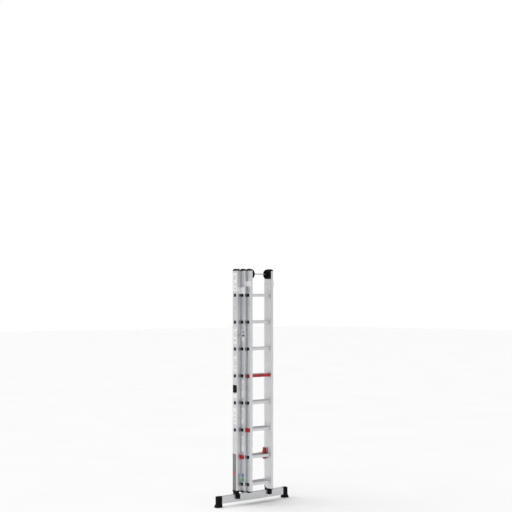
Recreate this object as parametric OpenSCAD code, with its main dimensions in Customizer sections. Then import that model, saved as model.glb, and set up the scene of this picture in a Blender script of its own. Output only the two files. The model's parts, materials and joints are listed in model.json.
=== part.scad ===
// Three-section combination ladder, closed: a wide base section on a stabiliser bar,
// a middle section that slides in front of it and a narrow top section in front of that.
// X runs across the ladder, Y from front to back, Z up. The origin is on the floor,
// under the middle of the whole ladder's outline. All sizes are in millimetres.

/* [Sections] */
// Half of the outer width of the base section
base_half = 243; // [240:1:250]
// Half of the outer width of the middle section
middle_half = 193; // [190:1:197]
// Half of the outer width of the top section
top_half = 160; // [158:1:160]
// Width of a base stile across the ladder
base_thick = 42; // [38:1:42]
// Width of a middle stile across the ladder
middle_thick = 29; // [26:1:29]
// Width of a top stile across the ladder
top_thick = 30; // [28:1:30]
// Depth of every stile from front to back
stile_depth = 76; // [72:1:78]
// Distance in depth from one section to the next
section_step = 57; // [57:1:60]
// Wall of the stile tubes
stile_wall = 2.2; // [1.8:0.1:3]

/* [Rungs] */
// Distance from rung to rung
pitch = 280; // [270:5:300]
// Height of the lowest rung's centre over the floor
first_rung = 216; // [210:1:225]
// Outer size of the square rung tube
rung_size = 30; // [26:1:30]
// Wall of the rung tube
rung_wall = 1.8; // [1.5:0.1:2.5]

/* [Base] */
// Half of the stabiliser bar's overall length, over its feet
bar_half = 490; // [450:5:550]
// Depth of the stabiliser bar
bar_depth = 34; // [30:1:40]
// Height of the bar's underside over the floor
bar_bottom = 36; // [30:1:45]
// Height of the bar's top over the floor
bar_top = 113; // [105:1:118]

/* [Wheels] */
// Radius of the wall wheels
wheel_radius = 50; // [40:1:52]
// Width of the wall wheels
wheel_width = 27; // [20:1:28]
// Radius of the wheels' axle
axle_radius = 6; // [5:0.5:8]

/* [Hidden] */

$fn = 40;
rung_count = 8;
top_rung_to_end = 256;
stile_top = first_rung + (rung_count - 1) * pitch + top_rung_to_end;
base_bottom = 140;
upper_bottom = 145;
half_depth = stile_depth / 2;
stile_corner = 3;
stile_groove = [1.2, 4];
stile_groove_y = 21;

// Caps on the stile ends: height of the upper and the lower ones, and their spigot
top_cap_height = 21;
top_cap_edge = 6;
bottom_cap_height = 16;
bottom_cap_edge = 4;
cap_spigot = 24;
spigot_gap = 0.2;

// Guide brackets: sheet thickness, gap to the sliding stile, heights and front lips
guide_sheet = 2.5;
guide_gap = 0.75;
guide_reach = half_depth + guide_gap + guide_sheet;
base_guide = [2191, 2261];
middle_guide = [2268, 2323];
base_lip = 10;
middle_lip = 26;
guide_edge = 3;
rivet_inset = 14;
rivet_radius = 2.5;
rivet_head = 4.5;

// The outline in depth runs from the middle guides' lips to the base stiles' backs
middle_y = (guide_reach - half_depth) / 2;
base_y = middle_y + section_step;
top_y = middle_y - section_step;

// The rung that carries each section's hooks, counted from below, and the marker rung
middle_hook_rung = 2;
top_hook_rung = 3;
marker_rung = 5;

fit_gap = 0.1;
rung_corner = 2.5;
grip_pitch = 4.5;
grip_groove = [1.8, 1.4];
collar_size = rung_size + 5;
collar_width = 2;
plug_depth = 16;
plug_rim = [0.4, 33, 33];
marker_rim = [0.5, 40, 40];

hook_plate = [3, 58, 44];
hook_plate_corner = 6;
hook_width = 24;
hook_inner = top_half - top_thick - hook_width - 1;
hook_beak_low = rung_size / 2 + 0.3;
hook_beak_root = 22;
hook_beak_high = 20;
hook_beak_tip = -5;
hook_beak_reach = section_step + rung_size / 2 + 7;
hook_finger = 6;
latch_slot = 8;
latch_width = 7.4;
latch_pivot_drop = 32;
latch_pin = 3;
pin_gap = 0.05;

wheel_back = 10;
wheel_drop = 34;
wheel_z = stile_top - wheel_drop;
wheel_inner = top_half - top_thick - wheel_width - 2;

foot_length = 61;
foot_wall = 5;
foot_flare = 12;
foot_sole = [foot_length + foot_flare, 57, 10];
foot_corner = 5;
foot_top = bar_top + 1.5;
bar_corner = 3;
clamp_front = 21;
clamp_back = 31;
clamp_tongue_bottom = 66;
clamp_edge = 3;
clamp_bolt_z = 84;
bolt_radius = 4;

silver = [0.78, 0.79, 0.8];
black = [0.04, 0.04, 0.045];
red = [0.75, 0.1, 0.1];

function rung_z(n) = first_rung + (n - 1) * pitch;

// Draws the children on the right side, or mirrored on the left
module on_side(side) {
    if (side == "left") mirror([1, 0, 0]) children();
    else children();
}

module on_both_sides() {
    on_side("left") children();
    on_side("right") children();
}

// Extrudes an outline drawn in (Y, Z) along X, from x by length
module along_x(x, length) {
    translate([x, 0, 0]) rotate([90, 0, 90]) linear_extrude(length) children();
}

// A rectangle centred on the origin, with round corners
module round_rect(size, r) {
    square([size.x - 2 * r, size.y], center = true);
    square([size.x, size.y - 2 * r], center = true);
    for (x = [-1, 1], y = [-1, 1])
        translate([x * (size.x / 2 - r), y * (size.y / 2 - r)]) circle(r);
}

// Cross-section of a stile: a box with shallow grooves down both side faces
module stile_outline(thick) {
    difference() {
        round_rect([thick, stile_depth], stile_corner);
        round_rect([thick - 2 * stile_wall, stile_depth - 2 * stile_wall], 1);
        for (x = [-1, 1], y = [-1, 1])
            translate([x * thick / 2, y * stile_groove_y]) square(stile_groove, center = true);
    }
}

// One right-hand stile with its rung holes
module stile(half, thick, y, bottom, rivet_heights) {
    hole = rung_size + 2 * fit_gap;
    color(silver) difference() {
        translate([half - thick / 2, y, bottom]) linear_extrude(stile_top - bottom) stile_outline(thick);
        for (n = [1:rung_count])
            translate([half - thick / 2, y, rung_z(n)]) cube([thick + 1, hole, hole], center = true);
        for (z = rivet_heights)
            translate([half - thick / 2, y - half_depth, z]) rotate([90, 0, 0])
                cylinder(h = 4 * stile_wall, r = rivet_radius + fit_gap, center = true);
    }
}

// Cross-section of a rung: a square tube with grip grooves along its top and underside
module rung_outline() {
    difference() {
        round_rect([rung_size, rung_size], rung_corner);
        round_rect([rung_size - 2 * rung_wall, rung_size - 2 * rung_wall], 1);
        for (y = [-2:2], z = [-1, 1])
            translate([y * grip_pitch, z * rung_size / 2]) square(grip_groove, center = true);
    }
}

// One rung, held by swaged collars against the inner faces of its stiles
module rung(n, half, thick, y, paint) {
    inner = half - thick;
    length = 2 * (half - stile_wall);
    color(paint) translate([0, y, rung_z(n)]) {
        along_x(-length / 2, length) rung_outline();
        for (x = [-inner, inner - collar_width])
            along_x(x, collar_width) difference() {
                round_rect([collar_size, collar_size], 4);
                square(rung_size - rung_wall, center = true);
            }
    }
}

// Plugs that close the rung ends, each with a thin rim on the outer face of its stile
module rung_plugs(half, y, rungs, rim, paint) {
    core = rung_size - 2 * rung_wall - 2 * fit_gap;
    color(paint) on_both_sides() for (n = rungs)
        translate([half, y, rung_z(n)]) {
            along_x(-stile_wall, stile_wall) square(rung_size, center = true);
            along_x(-plug_depth, plug_depth - stile_wall) round_rect([core, core], 1);
            along_x(0, rim.x) round_rect([rim.y, rim.z], rung_corner);
        }
}

// Size of the spigot that fills a stile's bore
function spigot_size(thick) = [for (s = [thick, stile_depth]) s - 2 * (stile_wall + spigot_gap)];

// Side view of a cap: flat where it meets the stile, arched from edge to edge
module cap_outline(height, edge) {
    rise = height - edge;
    arch_radius = (half_depth ^ 2 + rise ^ 2) / (2 * rise);
    intersection() {
        translate([-half_depth, 0]) square([stile_depth, height]);
        translate([0, height - arch_radius]) circle(arch_radius, $fn = 120);
    }
}

// The cap with its spigot, standing on the end of a right-hand stile
module cap(half, thick, height, edge) {
    along_x(half - thick, thick) cap_outline(height, edge);
    translate([half - thick / 2, 0, -cap_spigot])
        linear_extrude(cap_spigot) round_rect(spigot_size(thick), 1);
}

module top_caps(half, thick, y) {
    color(black) on_both_sides()
        translate([0, y, stile_top]) cap(half, thick, top_cap_height, top_cap_edge);
}

module bottom_caps(half, thick, y) {
    color(black) on_both_sides() translate([0, y, upper_bottom]) mirror([0, 0, 1])
        cap(half, thick, bottom_cap_height, bottom_cap_edge);
}

// Heights of a guide's two rivets, in the front of its own section's stile
function guide_rivet_heights(heights) = [heights[0] + rivet_inset, heights[1] - rivet_inset];

// A pair of guides, each riveted to the front of one section's stile and hooked
// round the side and front of the next section's stile
module guides(half, thick, y, slide_half, slide_y, heights, lip) {
    side_x = slide_half + guide_gap;
    front = slide_y - guide_reach;
    flange_y = y - half_depth;
    color(silver) on_both_sides() difference() {
        translate([0, 0, heights[0]]) linear_extrude(heights[1] - heights[0]) {
            translate([side_x, front]) square([guide_sheet, flange_y - front]);
            translate([side_x, flange_y - guide_sheet]) square([half - guide_edge - side_x, guide_sheet]);
            translate([slide_half - lip, front]) square([lip + guide_gap + guide_sheet, guide_sheet]);
        }
        for (z = guide_rivet_heights(heights))
            translate([half - thick / 2, flange_y, z]) rotate([90, 0, 0])
                cylinder(h = 4 * guide_sheet, r = rivet_radius + fit_gap, center = true);
    }
}

module guide_rivets(half, thick, y, heights) {
    head = 1.5;
    shank = guide_sheet + stile_wall;
    color(silver) on_both_sides() for (z = guide_rivet_heights(heights))
        translate([half - thick / 2, y - half_depth + stile_wall, z]) rotate([90, 0, 0]) {
            cylinder(h = shank, r = rivet_radius);
            translate([0, 0, shank]) cylinder(h = head, r = rivet_head);
        }
}

// Plates on the outer faces of the stiles that cover the hook rung's ends
module hook_plates(half, y, n) {
    color(red) on_both_sides() translate([half, y, rung_z(n)]) {
        along_x(0, hook_plate.x) round_rect([hook_plate.y, hook_plate.z], hook_plate_corner);
        along_x(-stile_wall, stile_wall) square(rung_size, center = true);
    }
}

// Side view of the beak that rests on the next section's rung and reaches down behind it
module hook_beak(start, root) {
    back = hook_beak_reach - hook_finger;
    polygon([
        [start, hook_beak_low], [back, hook_beak_low], [back, hook_beak_tip],
        [hook_beak_reach, hook_beak_tip], [hook_beak_reach, hook_beak_low],
        [back, hook_beak_high], [start + rung_size, hook_beak_high], [start, root]
    ]);
}

// Side view of the hook body, clamped round its own rung, with a tall guard above it
module middle_hook_outline() {
    front = -20;
    back = 20;
    difference() {
        polygon([
            [front, -36], [front + 6, -44], [8, -44], [back, -30], [back, 34], [back - 6, 42],
            [13, 46], [11, 72], [7, 78], [front + 6, 74], [front, 66]
        ]);
        square(rung_size + 2 * fit_gap, center = true);
    }
    hook_beak(back - 2, hook_beak_root);
}

module middle_hook() {
    slot_x = hook_inner + (hook_width - latch_slot) / 2;
    color(red) translate([0, middle_y, rung_z(middle_hook_rung)]) difference() {
        along_x(hook_inner, hook_width) middle_hook_outline();
        translate([slot_x, -40, -60]) cube([latch_slot, 80, 60 - rung_size / 2 - fit_gap]);
        translate([hook_inner - 1, 0, -latch_pivot_drop]) rotate([0, 90, 0])
            cylinder(h = hook_width + 2, r = latch_pin + pin_gap);
    }
}

// Lever that swings up under the next section's rung, with its own pivot pin
module latch() {
    hub = 7;
    arm_top = latch_pivot_drop - rung_size / 2 - 1.5;
    arm_reach = section_step + 5;
    latch_x = hook_inner + (hook_width - latch_width) / 2;
    color(red) translate([0, middle_y, rung_z(middle_hook_rung) - latch_pivot_drop]) {
        along_x(latch_x, latch_width) {
            circle(hub);
            polygon([[0, -hub], [arm_reach, arm_top - 7], [arm_reach, arm_top], [0, arm_top - 2]]);
        }
        along_x(hook_inner - 1, hook_width + 2) circle(latch_pin);
    }
}

// Hook behind a top stile: a plate on the stile's back face with the same beak
module top_hook() {
    plate = [3, 80];
    plate_bottom = -30;
    edge = 3;
    inner = top_half - top_thick + edge;
    color(silver) translate([0, top_y, rung_z(top_hook_rung)])
        along_x(inner, top_thick - 2 * edge) {
            translate([half_depth, plate_bottom]) square(plate);
            hook_beak(half_depth, hook_beak_high);
        }
}

// Cross-section of the stabiliser bar, or of its bore when inset by the wall
module bar_outline(inset, corner) {
    translate([0, (bar_bottom + bar_top) / 2])
        round_rect([bar_depth - 2 * inset, bar_top - bar_bottom - 2 * inset], corner);
}

module stabiliser_bar() {
    length = 2 * (bar_half - foot_wall);
    wall = 2.5;
    color(silver) translate([0, base_y, 0]) difference() {
        along_x(-length / 2, length) difference() {
            bar_outline(0, bar_corner);
            bar_outline(wall, 1);
        }
        for (x = [-1, 1])
            translate([x * (base_half - base_thick / 2), 0, clamp_bolt_z]) rotate([90, 0, 0])
                cylinder(h = bar_depth + 2, r = bolt_radius + fit_gap, center = true);
    }
}

// Plan of a shoe, starting at its inner end
module foot_outline(size) {
    translate([size.x / 2, 0]) round_rect(size, foot_corner);
}

// Rubber shoe on the end of the bar, flared at the sole
module foot() {
    flare_top = 40;
    layer = 0.5;
    outer = [foot_length, bar_depth + 2 * foot_wall];
    color(black) translate([0, base_y, 0]) difference() {
        translate([bar_half - foot_length, 0, 0]) {
            linear_extrude(foot_sole.z) foot_outline([foot_sole.x, foot_sole.y]);
            hull() {
                translate([0, 0, foot_sole.z - layer]) linear_extrude(layer)
                    foot_outline([foot_sole.x, foot_sole.y]);
                translate([0, 0, flare_top]) linear_extrude(layer) foot_outline(outer);
            }
            translate([0, 0, flare_top]) linear_extrude(foot_top - flare_top) foot_outline(outer);
        }
        along_x(0, bar_half - foot_wall) bar_outline(0, bar_corner);
    }
}

// Clamp that plugs into the bottom of a base stile and straddles the bar, thin in front
module bar_clamp() {
    spigot_top = first_rung - rung_size / 2 - 6;
    block = [base_thick, clamp_front + clamp_back];
    tongue_x = clamp_edge - base_thick / 2;
    tongue_width = base_thick - 2 * clamp_edge;
    color(black) translate([base_half - base_thick / 2, base_y, 0]) difference() {
        union() {
            translate([0, (clamp_back - clamp_front) / 2, bar_top])
                linear_extrude(base_bottom - bar_top) round_rect(block, clamp_edge);
            translate([0, 0, base_bottom]) linear_extrude(spigot_top - base_bottom)
                round_rect(spigot_size(base_thick), 1);
            for (span = [[-clamp_front, -bar_depth / 2], [bar_depth / 2, clamp_back]])
                translate([tongue_x, span[0], clamp_tongue_bottom])
                    cube([tongue_width, span[1] - span[0], bar_top - clamp_tongue_bottom + 1]);
        }
        translate([0, 0, clamp_bolt_z]) rotate([90, 0, 0])
            cylinder(h = 3 * clamp_back, r = bolt_radius + fit_gap, center = true);
    }
}

module clamp_bolts() {
    head = 5;
    head_radius = 7;
    nut_radius = 7.5;
    color(black) on_both_sides()
        translate([base_half - base_thick / 2, base_y + clamp_back, clamp_bolt_z]) rotate([90, 0, 0]) {
            cylinder(h = clamp_front + clamp_back, r = bolt_radius);
            translate([0, 0, clamp_front + clamp_back]) cylinder(h = head, r = head_radius);
            translate([0, 0, -head]) cylinder(h = head, r = nut_radius, $fn = 6);
        }
}

module wheel_axle() {
    inner = top_half - top_thick;
    collar_radius = 8.5;
    collar_length = 4;
    side_gap = 0.5;
    color(silver) translate([0, top_y + wheel_back, wheel_z]) {
        along_x(-inner, 2 * inner) circle(axle_radius);
        on_both_sides()
            along_x(wheel_inner - side_gap - collar_length, collar_length) circle(collar_radius);
    }
}

// Wall wheel: a tyred rim with a recessed web round the axle
module wheel() {
    rim = 9;
    hub = 16;
    web = 8;
    edge = 4;
    bore = axle_radius + pin_gap;
    w = wheel_width;
    color(black) translate([wheel_inner, top_y + wheel_back, wheel_z]) rotate([0, 90, 0])
        rotate_extrude($fn = 96) {
            difference() {
                translate([wheel_radius - rim, 0]) square([rim, w]);
                for (z = [0, w])
                    translate([wheel_radius, z]) rotate(45) square(edge, center = true);
            }
            translate([bore, 0]) square([hub - bore, w]);
            translate([hub - 1, (w - web) / 2]) square([wheel_radius - rim - hub + 2, web]);
        }
}

module base_stile(side) {
    on_side(side) stile(base_half, base_thick, base_y, base_bottom, guide_rivet_heights(base_guide));
}

module middle_stile(side) {
    on_side(side)
        stile(middle_half, middle_thick, middle_y, upper_bottom, guide_rivet_heights(middle_guide));
}

module top_stile(side) {
    on_side(side) stile(top_half, top_thick, top_y, upper_bottom, []);
}

function all_rungs_but(skipped) = [for (n = [1:rung_count]) if (len(search(n, skipped)) == 0) n];

base_stile("left");  // base_stile_left
base_stile("right");  // base_stile_right
for (n = [1:rung_count]) {
    rung(n, base_half, base_thick, base_y, silver);
    rung(n, middle_half, middle_thick, middle_y, silver);
    rung(n, top_half, top_thick, top_y, n == marker_rung ? red : silver);
}
rung_plugs(base_half, base_y, all_rungs_but([]), plug_rim, black);  // base_rung_plugs
top_caps(base_half, base_thick, base_y);  // base_top_caps
guides(base_half, base_thick, base_y, middle_half, middle_y, base_guide, base_lip);  // base_guides
guide_rivets(base_half, base_thick, base_y, base_guide);  // base_guide_rivets
stabiliser_bar();
on_side("left") foot();  // foot_left
on_side("right") foot();  // foot_right
on_side("left") bar_clamp();  // bar_clamp_left
on_side("right") bar_clamp();  // bar_clamp_right
clamp_bolts();
middle_stile("left");  // middle_stile_left
middle_stile("right");  // middle_stile_right
rung_plugs(middle_half, middle_y, all_rungs_but([middle_hook_rung]), plug_rim, black);  // middle_rung_plugs
hook_plates(middle_half, middle_y, middle_hook_rung);  // middle_hook_plates
top_caps(middle_half, middle_thick, middle_y);  // middle_top_caps
bottom_caps(middle_half, middle_thick, middle_y);  // middle_bottom_caps
guides(middle_half, middle_thick, middle_y, top_half, top_y, middle_guide, middle_lip);  // middle_guides
guide_rivets(middle_half, middle_thick, middle_y, middle_guide);  // middle_guide_rivets
on_side("left") middle_hook();  // middle_hook_left
on_side("right") middle_hook();  // middle_hook_right
on_side("left") latch();  // latch_left
on_side("right") latch();  // latch_right
top_stile("left");  // top_stile_left
top_stile("right");  // top_stile_right
rung_plugs(top_half, top_y, all_rungs_but([top_hook_rung, marker_rung]), plug_rim, black);  // top_rung_plugs
rung_plugs(top_half, top_y, [marker_rung], marker_rim, red);  // marker_rung_plugs
hook_plates(top_half, top_y, top_hook_rung);  // top_hook_plates
top_caps(top_half, top_thick, top_y);  // top_top_caps
bottom_caps(top_half, top_thick, top_y);  // top_bottom_caps
on_side("left") top_hook();  // top_hook_left
on_side("right") top_hook();  // top_hook_right
wheel_axle();
on_side("left") wheel();  // wheel_left
on_side("right") wheel();  // wheel_right
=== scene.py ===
"""Looks of a closed three-section combination ladder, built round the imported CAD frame."""

import json
import math

import bmesh
import bpy
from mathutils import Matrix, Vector


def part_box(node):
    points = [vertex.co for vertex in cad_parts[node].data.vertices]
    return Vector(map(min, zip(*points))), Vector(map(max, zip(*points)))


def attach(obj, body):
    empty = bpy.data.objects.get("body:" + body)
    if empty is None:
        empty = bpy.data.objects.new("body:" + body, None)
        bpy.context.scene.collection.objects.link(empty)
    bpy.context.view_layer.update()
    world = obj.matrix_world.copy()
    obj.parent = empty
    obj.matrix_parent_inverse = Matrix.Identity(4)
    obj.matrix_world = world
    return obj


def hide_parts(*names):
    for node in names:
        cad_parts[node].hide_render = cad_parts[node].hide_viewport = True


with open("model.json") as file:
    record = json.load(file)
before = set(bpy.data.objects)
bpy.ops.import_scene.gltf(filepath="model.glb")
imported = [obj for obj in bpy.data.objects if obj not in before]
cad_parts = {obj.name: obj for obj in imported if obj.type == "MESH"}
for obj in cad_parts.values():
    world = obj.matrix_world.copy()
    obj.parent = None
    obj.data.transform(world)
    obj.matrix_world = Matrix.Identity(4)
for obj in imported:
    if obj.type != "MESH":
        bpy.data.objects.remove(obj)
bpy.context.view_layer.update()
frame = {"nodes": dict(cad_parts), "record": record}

# Bodies of the frame
BASE = "base_section"
MIDDLE = "middle_section"
TOP = "top_section"

# Camera: azimuth off the front, distance, eye height, upward tilt and lens
CAMERA_AZIMUTH = math.radians(41.74)
CAMERA_DISTANCE = 12.21
CAMERA_HEIGHT = 2.12
CAMERA_TILT = math.radians(2.21)
CAMERA_LENS = 81.3
SENSOR = 36.0

# Studio light: half brightness against height above the horizon, then a softbox overhead
WALL_LIGHT = ((-0.05, 0.405), (0.02, 0.405), (0.18, 0.315), (0.45, 0.21))
SOFTBOX_DIRECTION = (-0.40, 0.25, 0.88)
SOFTBOX_LIGHT = ((0.0, 0.0), (0.62, 0.0), (0.86, 0.80))

STUDIO_STRENGTH = 2.0

# Floor: half its side, and the dark and the light tone of its paper
FLOOR_HALF = 60.0
FLOOR_TONES = ((0.90, 0.90, 0.90), (0.92, 0.92, 0.92))

# Segments round a tyre, a wheel body and a hub cap
TYRE_SEGMENTS = 96
WHEEL_SEGMENTS = 72
CAP_SEGMENTS = 48
SPOKES = 6

# Thickness of a shoe's wall round the bar
SHOE_WALL = 0.005

# Colours, linear
STILE_METAL = (0.70, 0.705, 0.72)
RUNG_METAL = (0.72, 0.72, 0.725)
BRACKET_METAL = (0.80, 0.805, 0.80)
STEEL = (0.62, 0.62, 0.61)
BLACK_STEEL = (0.012, 0.012, 0.013)
BLACK = (0.004, 0.004, 0.0042)
RUBBER = (0.006, 0.006, 0.0062)
RED = (0.42, 0.012, 0.016)
DEEP_RED = (0.20, 0.008, 0.010)
LABEL_WHITE = (0.80, 0.80, 0.79)
LABEL_PALE = (0.60, 0.61, 0.61)
LABEL_GREY = (0.19, 0.19, 0.195)
LABEL_RED = (0.40, 0.10, 0.10)
LABEL_BLUE = (0.10, 0.20, 0.42)
LABEL_GREEN = (0.08, 0.30, 0.12)
LABEL_INK = (0.005, 0.005, 0.006)


# ---------------------------------------------------------------- materials

class Tree:
    """A material's node tree with its Principled shader and object coordinates."""

    def __init__(self, name, roughness, metallic=0.0):
        self.material = bpy.data.materials.new(name)
        self.material.use_nodes = True
        self.nodes = self.material.node_tree.nodes
        self.links = self.material.node_tree.links
        self.shader = self.nodes["Principled BSDF"]
        self.shader.inputs["Roughness"].default_value = roughness
        self.shader.inputs["Metallic"].default_value = metallic
        self.coordinates = self.nodes.new("ShaderNodeTexCoord")

    def noise(self, scale, stretch=(1, 1, 1), detail=4.0):
        """Noise in object space, stretched along the axes where stretch is small."""
        mapping = self.nodes.new("ShaderNodeMapping")
        mapping.inputs["Scale"].default_value = stretch
        texture = self.nodes.new("ShaderNodeTexNoise")
        texture.inputs["Scale"].default_value = scale
        texture.inputs["Detail"].default_value = detail
        self.links.new(self.coordinates.outputs["Object"], mapping.inputs["Vector"])
        self.links.new(mapping.outputs["Vector"], texture.inputs["Vector"])
        return texture.outputs["Fac"]

    def ramp(self, value, low, high, dark, light):
        """Colours from dark to light as value goes from low to high."""
        node = self.nodes.new("ShaderNodeValToRGB")
        node.color_ramp.elements[0].position = low
        node.color_ramp.elements[1].position = high
        node.color_ramp.elements[0].color = (*dark, 1.0)
        node.color_ramp.elements[1].color = (*light, 1.0)
        self.links.new(value, node.inputs["Fac"])
        return node.outputs["Color"]

    def range(self, value, low, high, to_low, to_high):
        """Value carried from the span low..high over to the span to_low..to_high."""
        node = self.nodes.new("ShaderNodeMapRange")
        limits = {"From Min": low, "From Max": high, "To Min": to_low, "To Max": to_high}
        for key, number in limits.items():
            node.inputs[key].default_value = number
        self.links.new(value, node.inputs["Value"])
        return node.outputs["Result"]

    def multiply(self, first, second):
        """Product of two colours."""
        node = self.nodes.new("ShaderNodeMix")
        node.data_type = "RGBA"
        node.blend_type = "MULTIPLY"
        node.inputs[0].default_value = 1.0
        self.links.new(first, node.inputs[6])
        self.links.new(second, node.inputs[7])
        return node.outputs[2]

    def colour(self, output):
        self.links.new(output, self.shader.inputs["Base Color"])

    def roughness(self, output):
        self.links.new(output, self.shader.inputs["Roughness"])

    def bump(self, value, strength, distance):
        node = self.nodes.new("ShaderNodeBump")
        node.inputs["Strength"].default_value = strength
        node.inputs["Distance"].default_value = distance
        self.links.new(value, node.inputs["Height"])
        self.links.new(node.outputs["Normal"], self.shader.inputs["Normal"])


def tinted(colour, factor):
    """A colour made lighter or darker, never past white."""
    return tuple(min(1.0, c * factor) for c in colour)


def extruded_metal(name, colour, along, roughness=0.34, spread=0.08):
    """Drawn aluminium: fine die lines along one axis, with cloudy oxide and small scuffs."""
    tree = Tree(name, roughness, metallic=1.0)
    stretch = [1.0, 1.0, 1.0]
    stretch["XYZ".index(along)] = 0.012
    lines = tree.noise(900.0, stretch, detail=3.0)
    clouds = tree.noise(3.2, detail=5.0)
    scuffs = tree.noise(46.0, tuple(0.3 if s < 1 else 1.0 for s in stretch), detail=6.0)
    base = tree.ramp(lines, 0.30, 0.70, tinted(colour, 1 - spread), tinted(colour, 1 + spread))
    cloud = tree.ramp(clouds, 0.30, 0.70, (0.93, 0.935, 0.94), (1.0, 1.0, 1.0))
    scuff = tree.ramp(scuffs, 0.24, 0.40, (0.86, 0.86, 0.86), (1.0, 1.0, 1.0))
    tree.colour(tree.multiply(tree.multiply(base, cloud), scuff))
    tree.roughness(tree.range(clouds, 0.3, 0.7, roughness - 0.05, roughness + 0.08))
    tree.bump(lines, 0.12, 0.0002)
    return tree.material


def blasted_metal(name, colour, roughness=0.46, metallic=1.0):
    """Pressed sheet with a bead-blasted skin."""
    tree = Tree(name, roughness, metallic=metallic)
    grain = tree.noise(1500.0, detail=2.0)
    clouds = tree.noise(14.0, detail=4.0)
    tree.colour(tree.ramp(clouds, 0.3, 0.7, tinted(colour, 0.93), tinted(colour, 1.05)))
    tree.roughness(tree.range(grain, 0.3, 0.7, roughness - 0.06, roughness + 0.10))
    tree.bump(grain, 0.25, 0.0002)
    return tree.material


def moulded(name, colour, roughness, grain_scale=1100.0, grain=0.25, sheen=0.5):
    """Moulded plastic or rubber: fine grain, uneven gloss and faint dust in the tone."""
    tree = Tree(name, roughness)
    fine = tree.noise(grain_scale, detail=3.0)
    patches = tree.noise(22.0, detail=5.0)
    tree.colour(tree.ramp(patches, 0.28, 0.72, tinted(colour, 0.80), tinted(colour, 1.25)))
    tree.roughness(tree.range(patches, 0.3, 0.7, roughness - 0.07, roughness + 0.08))
    tree.bump(fine, grain, 0.00025)
    tree.shader.inputs["Specular IOR Level"].default_value = sheen
    return tree.material


def printed_film(name, colour, sheen=0.5):
    """Printed vinyl with slight fading and a satin skin."""
    tree = Tree(name, 0.42)
    fade = tree.noise(30.0, detail=4.0)
    skin = tree.noise(700.0, detail=2.0)
    tree.colour(tree.ramp(fade, 0.3, 0.75, tinted(colour, 0.90), tinted(colour, 1.06)))
    tree.bump(skin, 0.08, 0.0001)
    tree.shader.inputs["Specular IOR Level"].default_value = sheen
    return tree.material


def hook_plastic(name, colour, metal, edge):
    """Red moulding in front of edge in object depth, and a plated steel beak behind it."""
    tree = Tree(name, 0.36)
    patches = tree.noise(22.0, detail=5.0)
    grain = tree.noise(1100.0, detail=3.0)
    axes = tree.nodes.new("ShaderNodeSeparateXYZ")
    tree.links.new(tree.coordinates.outputs["Object"], axes.inputs[0])
    beak = tree.range(axes.outputs["Y"], edge, edge + 0.0005, 0.0, 1.0)
    shade = tree.ramp(patches, 0.28, 0.72, tinted(colour, 0.80), tinted(colour, 1.25))
    mix = tree.nodes.new("ShaderNodeMix")
    mix.data_type = "RGBA"
    tree.links.new(beak, mix.inputs[0])
    tree.links.new(shade, mix.inputs[6])
    mix.inputs[7].default_value = (*metal, 1.0)
    tree.colour(mix.outputs[2])
    tree.links.new(beak, tree.shader.inputs["Metallic"])
    tree.bump(grain, 0.12, 0.00025)
    return tree.material


# Depth of the hook's moulded body from its front to the beak
HOOK_BODY_DEPTH = 0.040


def hook_edge():
    """Depth, in the hook's own coordinates, at which its beak starts."""
    low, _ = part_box("middle_hook_left")
    hook = frame["nodes"]["middle_hook_left"]
    return (hook.matrix_world.inverted() @ Vector((0, low[1] + HOOK_BODY_DEPTH, 0))).y


MATERIALS = {
    "hook": hook_plastic("hook_plastic", RED, STEEL, hook_edge()),
    "stile": extruded_metal("stile_aluminium", STILE_METAL, "Z"),
    "rung": extruded_metal("rung_aluminium", RUNG_METAL, "X", roughness=0.36),
    "bar": extruded_metal("bar_aluminium", STILE_METAL, "X", roughness=0.38),
    "bracket": blasted_metal("bracket_aluminium", BRACKET_METAL, metallic=0.4),
    "steel": blasted_metal("plated_steel", STEEL, roughness=0.30),
    "black_steel": blasted_metal("black_steel", BLACK_STEEL, roughness=0.40, metallic=0.5),
    "black": moulded("black_plastic", BLACK, 0.42, sheen=0.08),
    "rubber": moulded("foot_rubber", RUBBER, 0.56, grain_scale=650.0, grain=0.4, sheen=0.08),
    "tyre": moulded("wheel_rubber", RUBBER, 0.60, grain_scale=800.0, grain=0.4, sheen=0.08),
    "red": moulded("red_plastic", RED, 0.34, grain=0.12, sheen=0.4),
    "paint": moulded("marker_paint", RED, 0.30, grain_scale=400.0, grain=0.10, sheen=0.4),
    "deep_red": moulded("deep_red_plastic", DEEP_RED, 0.40, sheen=0.3),
    "label_white": printed_film("label_white", LABEL_WHITE),
    "label_pale": printed_film("label_pale", LABEL_PALE),
    "label_grey": printed_film("label_grey", LABEL_GREY),
    "label_red": printed_film("label_red", LABEL_RED),
    "label_blue": printed_film("label_blue", LABEL_BLUE),
    "label_green": printed_film("label_green", LABEL_GREEN),
    "label_ink": printed_film("label_ink", LABEL_INK, sheen=0.08),
}

# Which material each record slot shows
SLOT_MATERIAL = {
    "stile_aluminium": "stile",
    "rung_aluminium": "rung",
    "bar_aluminium": "bar",
    "bracket_aluminium": "bracket",
    "marker_paint": "paint",
    "red_plastic": "red",
    "black_plastic": "black",
    "foot_rubber": "rubber",
    "wheel_rubber": "tyre",
    "plated_steel": "steel",
    "black_steel": "black_steel",
}


def paint_frame():
    """Gives every carried-over CAD node its procedural material."""
    for part in frame["record"]["subparts"]:
        material = MATERIALS[SLOT_MATERIAL[part["material_slot"]]]
        if part["node"] == "marker_rung_plugs":
            material = MATERIALS["deep_red"]
        if part["node"] in ("middle_hook_left", "middle_hook_right"):
            material = MATERIALS["hook"]
        target = frame["nodes"][part["node"]]
        target.data.materials.clear()
        target.data.materials.append(material)


# ---------------------------------------------------------------- mesh helpers

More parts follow.
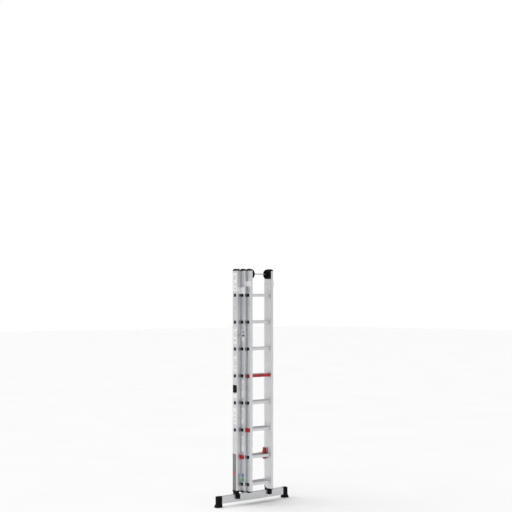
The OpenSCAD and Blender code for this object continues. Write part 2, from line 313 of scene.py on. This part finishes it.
def new_piece(name, mesh_maker, materials, body, smooth=False):
    """Makes an object from a bmesh-filling function and lets it ride on a body."""
    bm = bmesh.new()
    mesh_maker(bm)
    bmesh.ops.recalc_face_normals(bm, faces=bm.faces)
    mesh = bpy.data.meshes.new(name)
    bm.to_mesh(mesh)
    bm.free()
    for key in materials:
        mesh.materials.append(MATERIALS[key])
    if smooth:
        mesh.shade_smooth()
    piece = bpy.data.objects.new(name, mesh)
    bpy.context.scene.collection.objects.link(piece)
    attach(piece, body)
    return piece


def round_rect_points(width, height, radius, steps=5):
    """Outline of a rectangle with round corners, centred on the origin."""
    points = []
    centres = [(1, 1), (-1, 1), (-1, -1), (1, -1)]
    for corner, (sx, sy) in enumerate(centres):
        for i in range(steps + 1):
            angle = math.pi / 2 * (corner + i / steps)
            points.append((
                sx * (width / 2 - radius) + radius * math.cos(angle),
                sy * (height / 2 - radius) + radius * math.sin(angle),
            ))
    return points


def loft(bm, rings, material_index=0):
    """Joins rings of equal length into a closed skin with flat ends."""
    loops = [[bm.verts.new(point) for point in ring] for ring in rings]
    count = len(loops[0])
    for low, high in zip(loops, loops[1:]):
        for i in range(count):
            j = (i + 1) % count
            face = bm.faces.new((low[i], low[j], high[j], high[i]))
            face.material_index = material_index
    for loop in (loops[0][::-1], loops[-1]):
        bm.faces.new(loop).material_index = material_index


def plate(bm, x, y, z, width, height, thickness, radius, material_index):
    """A thin panel with round corners and a softened rim, lying on a plane of constant X."""
    direction = 1 if thickness > 0 else -1
    rim = min(abs(thickness) * 0.5, radius * 0.5)
    outline = round_rect_points(width, height, radius)
    inset = round_rect_points(width - 2 * rim, height - 2 * rim, radius - rim)
    rings = [
        [(x, y + a, z + b) for a, b in outline],
        [(x + thickness - direction * rim, y + a, z + b) for a, b in outline],
        [(x + thickness, y + a, z + b) for a, b in inset],
    ]
    loft(bm, rings, material_index)


# ---------------------------------------------------------------- labels

LABEL_THICKNESS = 0.0004
BLOCK_THICKNESS = 0.0006
LABEL_GAP = 0.00003


def label(name, body, node, height, size, backing, blocks=(), shift=0.0, radius=0.002):
    """A sticker on the outer face of a left stile, with blank colour blocks printed on it.

    Each block is (colour, sideways offset, upward offset, width, height, corner radius)."""
    low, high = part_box(node)
    x = low[0] - LABEL_GAP
    y = (low[1] + high[1]) / 2 + shift
    colours = [backing] + [block[0] for block in blocks]

    def make(bm):
        plate(bm, x, y, height, size[0], size[1], -LABEL_THICKNESS, radius, 0)
        for index, (_, dy, dz, width, tall, corner) in enumerate(blocks, start=1):
            plate(bm, x, y + dy, height + dz, width, tall, -BLOCK_THICKNESS, corner, index)

    return new_piece(name, make, colours, body)


def add_labels():
    left = "base_stile_left"
    band = ("label_red", 0.0, 0.078, 0.040, 0.004, 0.001)
    label("label_top", BASE, left, 2.312, (0.050, 0.200), "label_white", [
        ("label_red", -0.004, -0.062, 0.020, 0.010, 0.002),
        ("label_pale", 0.0, 0.050, 0.036, 0.050, 0.003),
        ("label_pale", 0.0, -0.020, 0.036, 0.026, 0.003),
    ])
    label("label_mark", BASE, left, 2.030, (0.034, 0.100), "label_pale", [
        ("label_red", 0.0, 0.026, 0.018, 0.008, 0.002),
        ("label_red", 0.0, 0.006, 0.018, 0.008, 0.002),
    ])
    label("label_upper", BASE, left, 1.752, (0.050, 0.170), "label_white", [
        band,
        ("label_pale", 0.0, 0.020, 0.036, 0.060, 0.003),
        ("label_pale", 0.0, -0.045, 0.036, 0.030, 0.003),
    ])
    label("label_middle", BASE, left, 1.466, (0.050, 0.170), "label_white", [
        band,
        ("label_pale", 0.0, 0.015, 0.036, 0.070, 0.003),
        ("label_pale", 0.0, -0.050, 0.036, 0.024, 0.003),
    ])
    label("label_block", BASE, left, 1.176, (0.064, 0.136), "label_white", [
        ("label_ink", 0.0, 0.025, 0.062, 0.082, 0.002),
        ("label_red", 0.0, -0.024, 0.046, 0.004, 0.001),
    ])
    label("label_icons", BASE, left, 0.921, (0.050, 0.172), "label_white", [
        ("label_pale", 0.0, 0.024, 0.030, 0.030, 0.0149),
        ("label_pale", 0.0, -0.016, 0.030, 0.030, 0.0149),
        ("label_pale", 0.0, -0.054, 0.030, 0.024, 0.0119),
    ])
    label("label_tall", BASE, left, 0.336, (0.052, 0.384), "label_grey", [
        ("label_red", 0.002, -0.010, 0.044, 0.046, 0.003),
    ], shift=0.008)


def add_middle_labels():
    left = "middle_stile_left"
    label("sticker_pair", MIDDLE, left, 1.752, (0.044, 0.130), "label_pale", [
        ("label_blue", -0.006, 0.040, 0.024, 0.024, 0.0119),
        ("label_ink", -0.006, 0.004, 0.026, 0.020, 0.003),
        ("label_white", -0.006, -0.034, 0.028, 0.034, 0.003),
    ], shift=-0.012)
    for number, height, tall in ((1, 1.202, 0.180), (2, 0.921, 0.170), (3, 0.637, 0.160)):
        label(f"sticker_strip_{number}", MIDDLE, left, height, (0.034, tall), "label_white", [
            ("label_pale", 0.0, 0.020, 0.024, tall * 0.5, 0.003),
        ], shift=-0.008)
    label("sticker_blue", MIDDLE, left, 0.308, (0.036, 0.040), "label_blue",
          shift=-0.014, radius=0.015)
    label("sticker_green", MIDDLE, left, 0.262, (0.036, 0.044), "label_green",
          shift=-0.014, radius=0.015)


# ---------------------------------------------------------------- feet and wheels

def foot_shoe(side):
    """Rubber shoe, its sole flared outwards, with ribs on its sides and a rounded top."""
    node = f"foot_{side}"
    low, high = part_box(node)
    bar_low, bar_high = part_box("stabiliser_bar")
    outward = 1 if side == "right" else -1
    inner, bar_end = (low[0], bar_high[0]) if side == "right" else (high[0], bar_low[0])
    y = (low[1] + high[1]) / 2
    height = high[2]
    sole_width = high[0] - low[0]
    sole_depth = high[1] - low[1]
    neck_width = abs(bar_end - inner) + SHOE_WALL
    neck_depth = bar_high[1] - bar_low[1] + 2 * SHOE_WALL
    x = inner + outward * neck_width / 2
    # (height over the floor, share of the way from neck to sole, inset of the outline)
    levels = [
        (0.0, 0.62, 0.002), (0.002, 0.82, 0.0), (0.006, 0.97, 0.0), (0.010, 1.0, 0.0),
        (0.015, 0.93, 0.0), (0.021, 0.66, 0.0), (0.028, 0.34, 0.0), (0.035, 0.12, 0.0),
        (0.043, 0.0, 0.0), (0.078, 0.0, 0.0),
        (height - 0.006, 0.0, 0.0), (height - 0.002, 0.0, 0.0015), (height, 0.0, 0.005),
    ]

    def ring(z, share, inset):
        width = neck_width + share * (sole_width - neck_width)
        depth = neck_depth + share * (sole_depth - neck_depth) - 2 * inset
        centre = inner + outward * width / 2
        outline = round_rect_points(width - 2 * inset, depth, 0.007 - inset)
        return [(centre + a, y + b, z) for a, b in outline]

    def make(bm):
        loft(bm, [ring(*level) for level in levels])
        rib_low, rib_high, rib_out, rib_half = 0.046, height - 0.014, 0.0012, 0.0022
        rib_step, shoulder = 0.0098, 0.7
        for face in (-1, 1):
            y_face = y + face * neck_depth / 2
            for number in range(-2, 3):
                rib_x = x + number * rib_step
                corners = [(rib_x - rib_half, rib_low), (rib_x + rib_half, rib_low),
                           (rib_x + rib_half, rib_high), (rib_x - rib_half, rib_high)]
                root = [(a, y_face - face * 0.001, b) for a, b in corners]
                crest = [(rib_x + (a - rib_x) * shoulder, y_face + face * rib_out, b)
                         for a, b in corners]
                loft(bm, [root, crest])

    shoe = new_piece(f"shoe_{side}", make, ["rubber"], BASE, smooth=True)
    soften(shoe, 40)
    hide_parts(node)


def clamp_cover(side):
    """Collar round the foot of a base stile, and the clamp's broad face in front of the bar."""
    low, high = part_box(f"base_stile_{side}")
    clamp_low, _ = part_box(f"bar_clamp_{side}")
    bar_low, bar_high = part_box("stabiliser_bar")
    x, y = (low[0] + high[0]) / 2, (low[1] + high[1]) / 2
    proud, rise, bevel = 0.0015, 0.011, 0.001
    face_width, face_out, face_gap = 0.047, 0.0008, 0.0004
    face_low, face_high = clamp_low[2] - 0.001, bar_high[2] + 0.004

    def collar_ring(z, inset):
        width = high[0] - low[0] + 2 * (proud - inset)
        depth = high[1] - low[1] + 2 * (proud - inset)
        return [(x + a, y + b, z) for a, b in round_rect_points(width, depth, 0.004 - inset)]

    def face_ring(depth, inset):
        width, height = face_width - 2 * inset, face_high - face_low - 2 * inset
        outline = round_rect_points(width, height, 0.005 - inset)
        return [(x + a, depth, (face_low + face_high) / 2 + b) for a, b in outline]

    def make(bm):
        loft(bm, [collar_ring(low[2] - bevel, bevel), collar_ring(low[2], 0.0),
                  collar_ring(low[2] + rise - bevel, 0.0), collar_ring(low[2] + rise, bevel)])
        front = clamp_low[1] - face_out
        loft(bm, [face_ring(bar_low[1] - face_gap, 0.0), face_ring(front + bevel, 0.0),
                  face_ring(front, bevel)])

    cover = new_piece(f"clamp_cover_{side}", make, ["black"], BASE, smooth=True)
    soften(cover, 35)


def soften(piece, angle):
    """Smooth shading that keeps edges sharper than angle degrees."""
    for polygon in piece.data.polygons:
        polygon.use_smooth = True
    for edge in piece.data.edges:
        edge.use_edge_sharp = False
    bm = bmesh.new()
    bm.from_mesh(piece.data)
    limit = math.radians(angle)
    for edge in bm.edges:
        edge.smooth = not (len(edge.link_faces) == 2 and edge.calc_face_angle(0.0) > limit)
    bm.to_mesh(piece.data)
    bm.free()


def lathe(bm, centre, profile, segments, material_index=0):
    """Turns a closed (radius, x) profile round the X axis through centre."""
    rings = []
    for i in range(segments):
        angle = 2 * math.pi * i / segments
        cos, sin = math.cos(angle), math.sin(angle)
        rings.append([
            bm.verts.new((centre[0] + x, centre[1] + r * cos, centre[2] + r * sin))
            for r, x in profile
        ])
    count = len(profile)
    for i in range(segments):
        near, far = rings[i], rings[(i + 1) % segments]
        for j in range(count):
            k = (j + 1) % count
            bm.faces.new((near[j], near[k], far[k], far[j])).material_index = material_index


def wall_wheel(side):
    """Rubber-tyred wheel with a grooved tread, six spokes and a hub boss."""
    node = f"wheel_{side}"
    low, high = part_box(node)
    centre = [(low[i] + high[i]) / 2 for i in range(3)]
    radius = (high[2] - low[2]) / 2
    half = (high[0] - low[0]) / 2
    tyre_inner = radius - 0.0105
    hub = 0.016
    bore = 0.0066
    groove = 0.0014
    tread = [
        (tyre_inner, -half), (radius - 0.004, -half), (radius - 0.0012, -half + 0.0012),
        (radius, -half + 0.004), (radius, -0.0065), (radius - groove, -0.0058),
        (radius - groove, -0.0042), (radius, -0.0035), (radius, 0.0035),
        (radius - groove, 0.0042), (radius - groove, 0.0058), (radius, 0.0065),
        (radius, half - 0.004), (radius - 0.0012, half - 0.0012), (radius - 0.004, half),
        (tyre_inner, half),
    ]
    rim = [(tyre_inner - 0.003, -half + 0.002), (tyre_inner, -half + 0.001),
           (tyre_inner, half - 0.001), (tyre_inner - 0.003, half - 0.002)]
    boss = [(bore, -half + 0.0005), (hub - 0.002, -half), (hub, -half + 0.002),
            (hub, half - 0.002), (hub - 0.002, half), (bore, half - 0.0005)]
    web = [(hub - 0.001, -0.0022), (tyre_inner - 0.002, -0.0022),
           (tyre_inner - 0.002, 0.0022), (hub - 0.001, 0.0022)]

    def make_tyre(bm):
        lathe(bm, centre, tread, TYRE_SEGMENTS)

    def make_body(bm):
        for profile in (rim, boss, web):
            lathe(bm, centre, profile, WHEEL_SEGMENTS)
        spoke_half, reach = 0.0022, half - 0.004
        for number in range(SPOKES):
            angle = 2 * math.pi / SPOKES * number
            along = Vector((0, math.cos(angle), math.sin(angle)))
            across = Vector((0, -math.sin(angle), math.cos(angle)))
            rings = []
            for distance, depth in ((hub - 0.001, reach), (tyre_inner - 0.002, reach * 0.7)):
                middle = Vector(centre) + along * distance
                rings.append([
                    tuple(middle + across * s * spoke_half + Vector((t * depth, 0, 0)))
                    for s, t in ((-1, -1), (1, -1), (1, 1), (-1, 1))
                ])
            loft(bm, rings)

    tyre = new_piece(f"tyre_{side}", make_tyre, ["tyre"], node, smooth=True)
    soften(tyre, 35)
    body = new_piece(f"wheel_body_{side}", make_body, ["black"], node, smooth=True)
    soften(body, 35)
    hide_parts(node)
    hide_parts(node)


def hub_cap(side):
    """Black cap over the collar that keeps a wheel in place on the axle."""
    low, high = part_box(f"wheel_{side}")
    inward = -1 if side == "right" else 1
    face = low[0] if side == "right" else high[0]
    centre = (face, (low[1] + high[1]) / 2, (low[2] + high[2]) / 2)
    profile = [(radius, inward * x) for radius, x in (
        (0.0062, 0.0002), (0.0132, 0.0002), (0.0132, 0.0038), (0.0122, 0.0052),
        (0.0080, 0.0060), (0.0062, 0.0060),
    )]
    cap = new_piece(f"hub_cap_{side}", lambda bm: lathe(bm, centre, profile, CAP_SEGMENTS),
                    ["black"], TOP, smooth=True)
    soften(cap, 35)


# ---------------------------------------------------------------- stage, light and camera

def add_floor():
    mesh = bpy.data.meshes.new("floor")
    corners = [(x * FLOOR_HALF, y * FLOOR_HALF, 0) for x, y in ((-1, -1), (1, -1), (1, 1), (-1, 1))]
    mesh.from_pydata(corners, [], [(0, 1, 2, 3)])
    floor = bpy.data.objects.new("floor", mesh)
    bpy.context.scene.collection.objects.link(floor)
    tree = Tree("floor_paper", 0.9)
    mottle = tree.noise(0.8)
    tree.colour(tree.ramp(mottle, 0.3, 0.7, *FLOOR_TONES))
    mesh.materials.append(tree.material)


def sky_glow(nodes, links, direction, levels):
    """World brightness by the cosine of the angle to a direction, as (position, level) steps."""
    coordinates = nodes.new("ShaderNodeTexCoord")
    dot = nodes.new("ShaderNodeVectorMath")
    dot.operation = "DOT_PRODUCT"
    dot.inputs[1].default_value = Vector(direction).normalized()
    links.new(coordinates.outputs["Generated"], dot.inputs[0])
    spread = nodes.new("ShaderNodeMapRange")
    spread.inputs["From Min"].default_value = -1.0
    links.new(dot.outputs["Value"], spread.inputs["Value"])
    ramp = nodes.new("ShaderNodeValToRGB")
    ramp.color_ramp.interpolation = "EASE"
    while len(ramp.color_ramp.elements) < len(levels):
        ramp.color_ramp.elements.new(0.5)
    for element, (position, level) in zip(ramp.color_ramp.elements, levels):
        element.position = (position + 1) / 2
        element.color = (level, level, level, 1.0)
    links.new(spread.outputs["Result"], ramp.inputs["Fac"])
    return ramp.outputs["Color"]


def add_light():
    """A white studio: a wide overhead softbox leaning back and left, over an even wall of light."""
    world = bpy.data.worlds.new("studio")
    bpy.context.scene.world = world
    world.use_nodes = True
    nodes, links = world.node_tree.nodes, world.node_tree.links
    output = nodes["World Output"]
    wall = sky_glow(nodes, links, (0, 0, 1), WALL_LIGHT)
    softbox = sky_glow(nodes, links, SOFTBOX_DIRECTION, SOFTBOX_LIGHT)
    lit = nodes.new("ShaderNodeMix")
    lit.data_type = "RGBA"
    lit.blend_type = "ADD"
    lit.inputs[0].default_value = 1.0
    links.new(wall, lit.inputs[6])
    links.new(softbox, lit.inputs[7])
    studio = nodes["Background"]
    studio.inputs["Strength"].default_value = STUDIO_STRENGTH
    links.new(lit.outputs[2], studio.inputs["Color"])
    backdrop = nodes.new("ShaderNodeBackground")
    backdrop.inputs["Color"].default_value = (1.0, 1.0, 1.0, 1.0)
    seen = nodes.new("ShaderNodeLightPath")
    choice = nodes.new("ShaderNodeMixShader")
    links.new(seen.outputs["Is Camera Ray"], choice.inputs[0])
    links.new(studio.outputs[0], choice.inputs[1])
    links.new(backdrop.outputs[0], choice.inputs[2])
    links.new(choice.outputs[0], output.inputs["Surface"])


def add_camera():
    low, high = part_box("middle_stile_left")
    target_y = (low[1] + high[1]) / 2
    data = bpy.data.cameras.new("camera")
    data.sensor_width = SENSOR
    data.lens = CAMERA_LENS
    camera = bpy.data.objects.new("camera", data)
    camera.location = (
        -CAMERA_DISTANCE * math.sin(CAMERA_AZIMUTH),
        target_y - CAMERA_DISTANCE * math.cos(CAMERA_AZIMUTH),
        CAMERA_HEIGHT,
    )
    camera.rotation_euler = (math.pi / 2 + CAMERA_TILT, 0, -CAMERA_AZIMUTH)
    bpy.context.scene.collection.objects.link(camera)
    bpy.context.scene.camera = camera


add_camera()
add_floor()
add_light()
paint_frame()
add_labels()
add_middle_labels()
for side in ("left", "right"):
    foot_shoe(side)
    clamp_cover(side)
    wall_wheel(side)
    hub_cap(side)

bpy.context.scene.view_settings.view_transform = "Standard"
